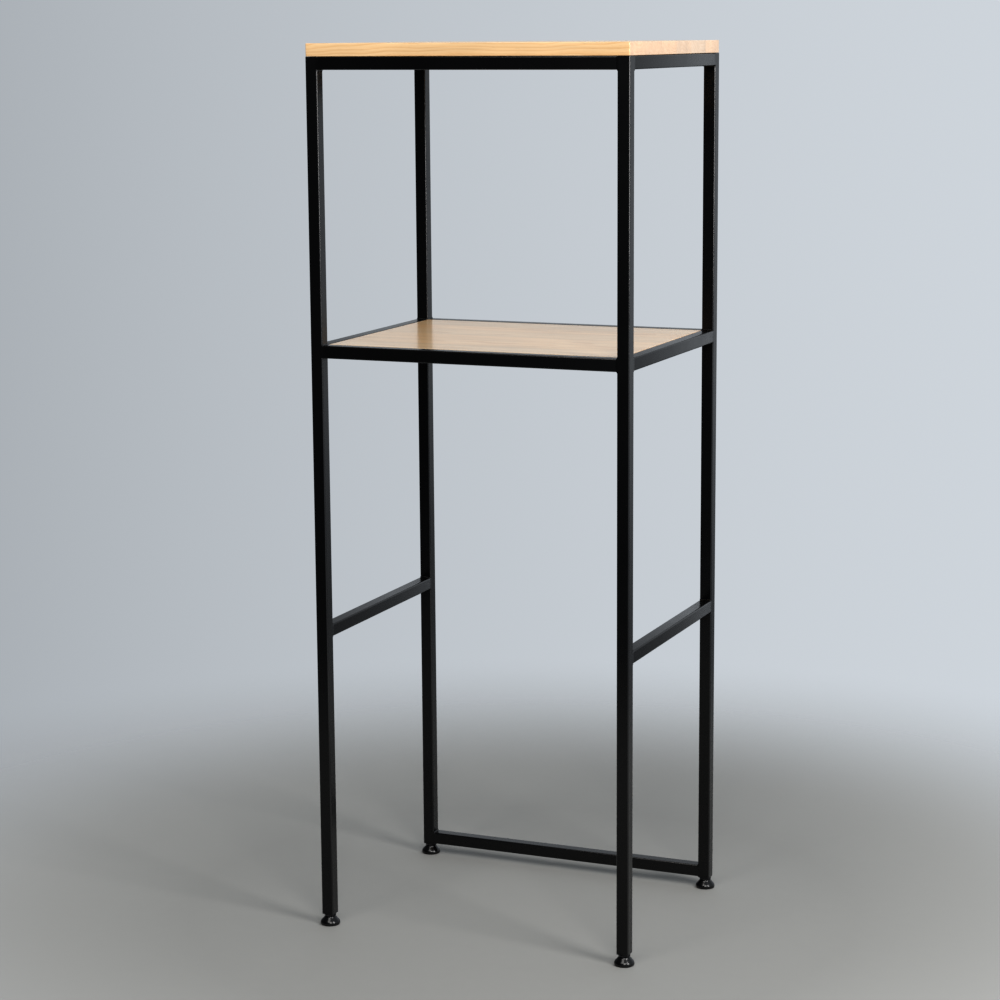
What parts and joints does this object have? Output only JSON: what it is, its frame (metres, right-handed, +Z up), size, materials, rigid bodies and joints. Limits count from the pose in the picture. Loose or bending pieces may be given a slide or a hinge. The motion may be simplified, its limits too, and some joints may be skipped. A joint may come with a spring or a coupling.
{
  "type": "over the toilet storage rack",
  "caption": "Tall free-standing rack that straddles a toilet: a welded square steel tube frame with a wooden top board, a wooden shelf let into the frame, and screw-adjustable levelling feet.",
  "frame": {"origin": "on the floor, under the middle of the rack's footprint", "axes": "+Z up, front towards -Y, the rack's right side, seen from the front, towards +X"},
  "size_m": [0.542, 0.432, 1.4153],
  "materials": {
    "frame_steel": "satin black powder coat",
    "top_board_wood": "edge-glued pine, clear satin lacquer",
    "shelf_board_wood": "edge-glued pine, clear satin lacquer, smoother than the top",
    "black_steel": "black zinc plating",
    "plug_nylon": "moulded black nylon",
    "nut_steel": "bright zinc plating",
    "pad_plastic": "glossy moulded black plastic"
  },
  "bodies": {
    "frame": {"leg_front_left": "frame_steel", "leg_front_right": "frame_steel", "leg_rear_left": "frame_steel", "leg_rear_right": "frame_steel", "top_rail_front": "frame_steel", "top_rail_rear": "frame_steel", "top_rail_left": "frame_steel", "top_rail_right": "frame_steel", "shelf_rail_front": "frame_steel", "shelf_rail_rear": "frame_steel", "shelf_rail_left": "frame_steel", "shelf_rail_right": "frame_steel", "side_rail_left": "frame_steel", "side_rail_right": "frame_steel", "bottom_rail_rear": "frame_steel", "shelf_tab_front_left": "frame_steel", "shelf_tab_front_right": "frame_steel", "shelf_tab_rear_left": "frame_steel", "shelf_tab_rear_right": "frame_steel", "top_board": "top_board_wood", "shelf_board": "shelf_board_wood", "top_screw_front_left": "black_steel", "top_screw_front_right": "black_steel", "top_screw_rear_left": "black_steel", "top_screw_rear_right": "black_steel", "top_screw_left": "black_steel", "top_screw_right": "black_steel", "shelf_screw_front_left": "black_steel", "shelf_screw_front_right": "black_steel", "shelf_screw_rear_left": "black_steel", "shelf_screw_rear_right": "black_steel", "leg_insert_front_left": "plug_nylon", "leg_insert_front_right": "plug_nylon", "leg_insert_rear_left": "plug_nylon", "leg_insert_rear_right": "plug_nylon", "insert_nut_front_left": "nut_steel", "insert_nut_front_right": "nut_steel", "insert_nut_rear_left": "nut_steel", "insert_nut_rear_right": "nut_steel"},
    "pad_front_left": {"foot_pad_front_left": "pad_plastic"},
    "stud_front_left": {"foot_stud_front_left": "black_steel"},
    "pad_front_right": {"foot_pad_front_right": "pad_plastic"},
    "stud_front_right": {"foot_stud_front_right": "black_steel"},
    "pad_rear_left": {"foot_pad_rear_left": "pad_plastic"},
    "stud_rear_left": {"foot_stud_rear_left": "black_steel"},
    "pad_rear_right": {"foot_pad_rear_right": "pad_plastic"},
    "stud_rear_right": {"foot_stud_rear_right": "black_steel"}
  },
  "joints": [
    {"name": "pad_travel_front_left", "type": "slide", "parent": "frame", "child": "pad_front_left", "axis": [0, 0, -1], "range_m": [0, 0.01]},
    {"name": "stud_turn_front_left", "type": "hinge", "parent": "pad_front_left", "child": "stud_front_left", "pos_m": [-0.255, -0.2, 0], "axis": [0, 0, -1], "range_deg": [0, 2880]},
    {"name": "pad_travel_front_right", "type": "slide", "parent": "frame", "child": "pad_front_right", "axis": [0, 0, -1], "range_m": [0, 0.01]},
    {"name": "stud_turn_front_right", "type": "hinge", "parent": "pad_front_right", "child": "stud_front_right", "pos_m": [0.255, -0.2, 0], "axis": [0, 0, -1], "range_deg": [0, 2880]},
    {"name": "pad_travel_rear_left", "type": "slide", "parent": "frame", "child": "pad_rear_left", "axis": [0, 0, -1], "range_m": [0, 0.01]},
    {"name": "stud_turn_rear_left", "type": "hinge", "parent": "pad_rear_left", "child": "stud_rear_left", "pos_m": [-0.255, 0.2, 0], "axis": [0, 0, -1], "range_deg": [0, 2880]},
    {"name": "pad_travel_rear_right", "type": "slide", "parent": "frame", "child": "pad_rear_right", "axis": [0, 0, -1], "range_m": [0, 0.01]},
    {"name": "stud_turn_rear_right", "type": "hinge", "parent": "pad_rear_right", "child": "stud_rear_right", "pos_m": [0.255, 0.2, 0], "axis": [0, 0, -1], "range_deg": [0, 2880]}
  ],
  "couplings": [
    {"joint": "stud_turn_front_left", "follows": "pad_travel_front_left", "rad_per_m": 5026.5},
    {"joint": "stud_turn_front_right", "follows": "pad_travel_front_right", "rad_per_m": 5026.5},
    {"joint": "stud_turn_rear_left", "follows": "pad_travel_rear_left", "rad_per_m": 5026.5},
    {"joint": "stud_turn_rear_right", "follows": "pad_travel_rear_right", "rad_per_m": 5026.5}
  ]
}
